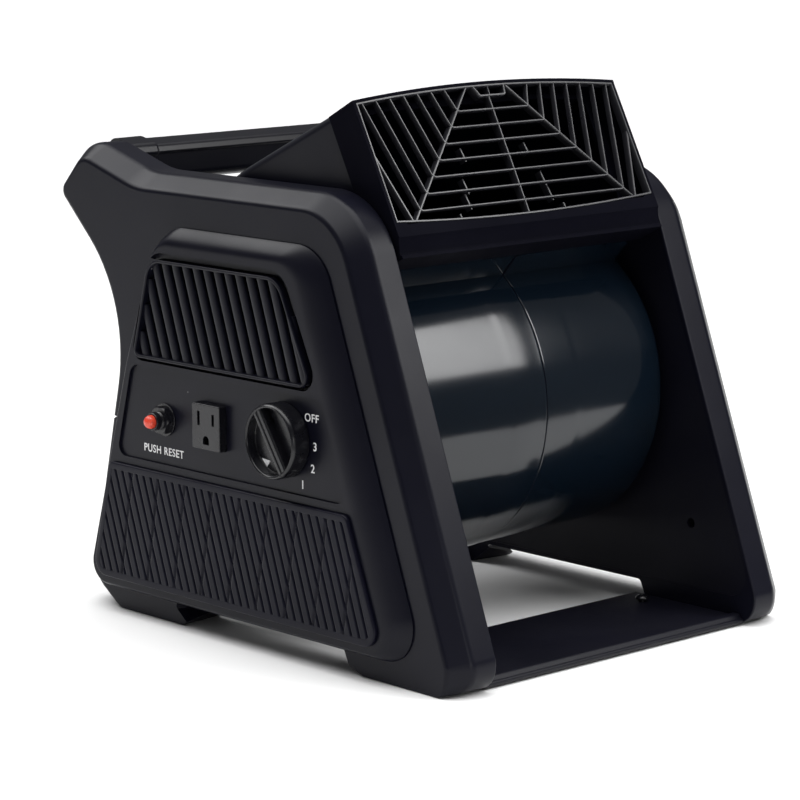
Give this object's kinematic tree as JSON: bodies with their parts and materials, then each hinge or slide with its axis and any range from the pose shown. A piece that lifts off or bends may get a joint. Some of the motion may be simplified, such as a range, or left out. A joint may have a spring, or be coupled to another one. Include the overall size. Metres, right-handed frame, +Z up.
{
  "type": "pivoting utility blower fan",
  "caption": "Black plastic utility blower fan: a drum-shaped blower with a crowned grille tilts between two leaning side housings.",
  "frame": {"origin": "on the ground, under the middle of the whole box", "axes": "+Z up, -Y towards the front where air comes out, -X towards the side with the controls"},
  "size_m": [0.2934, 0.3455, 0.3117],
  "materials": {
    "housing": "satin",
    "pad": "ribbed satin",
    "gloss": "gloss",
    "drum": "high gloss, bluish black",
    "rubber": "matt",
    "steel": "zinc plated",
    "red": "gloss"
  },
  "bodies": {
    "frame": {"left_side_housing": "housing", "right_side_housing": "housing", "left_inner_wall": "housing", "right_inner_wall": "housing", "left_side_cover": "housing", "right_side_cover": "housing", "left_vent_grille": "housing", "right_vent_grille": "housing", "left_lower_pad": "pad", "right_lower_pad": "pad", "front_base_left": "housing", "front_base_right": "housing", "rear_base_left": "housing", "rear_base_right": "housing", "front_base_screw_left": "steel", "front_base_screw_right": "steel", "rear_base_screw_left": "steel", "rear_base_screw_right": "steel", "front_foot_left": "rubber", "front_foot_right": "rubber", "rear_foot_left": "rubber", "rear_foot_right": "rubber", "left_friction_washer": "rubber", "right_friction_washer": "rubber", "carry_handle": "housing", "cord_bush": "rubber", "power_receptacle": "gloss", "circuit_breaker": "gloss", "breaker_nut": "gloss", "rotary_switch": "gloss", "run_capacitor": "gloss"},
    "head": {"left_scroll": "drum", "right_scroll": "drum", "outlet_bezel": "housing", "outlet_grille": "housing", "left_inlet_ring": "gloss", "right_inlet_ring": "gloss", "left_pivot_retainer": "steel", "right_pivot_retainer": "steel", "motor": "steel", "motor_bracket": "steel"},
    "rotor": {"motor_shaft": "steel", "blower_wheel": "gloss", "left_blade_cage": "gloss", "right_blade_cage": "gloss"},
    "knob": {"speed_knob": "gloss", "switch_spindle": "steel"},
    "button": {"reset_button": "red"}
  },
  "joints": [
    {"name": "head_pivot", "type": "hinge", "parent": "frame", "child": "head", "pos_m": [0.00525, -0.017, 0.131], "axis": [1, 0, 0], "range_deg": [-40, 80]},
    {"name": "rotor_spin", "type": "hinge", "parent": "head", "child": "rotor", "pos_m": [0.00525, -0.017, 0.131], "axis": [1, 0, 0], "continuous": true},
    {"name": "knob_turn", "type": "hinge", "parent": "frame", "child": "knob", "pos_m": [-0.13225, -0.045, 0.124], "axis": [-1, 0, 0], "range_deg": [0, 91]},
    {"name": "reset_press", "type": "slide", "parent": "frame", "child": "button", "axis": [1, 0, 0], "range_m": [0, 0.0025], "stiffness_N_per_m": 600, "springref_m": -0.001}
  ]
}
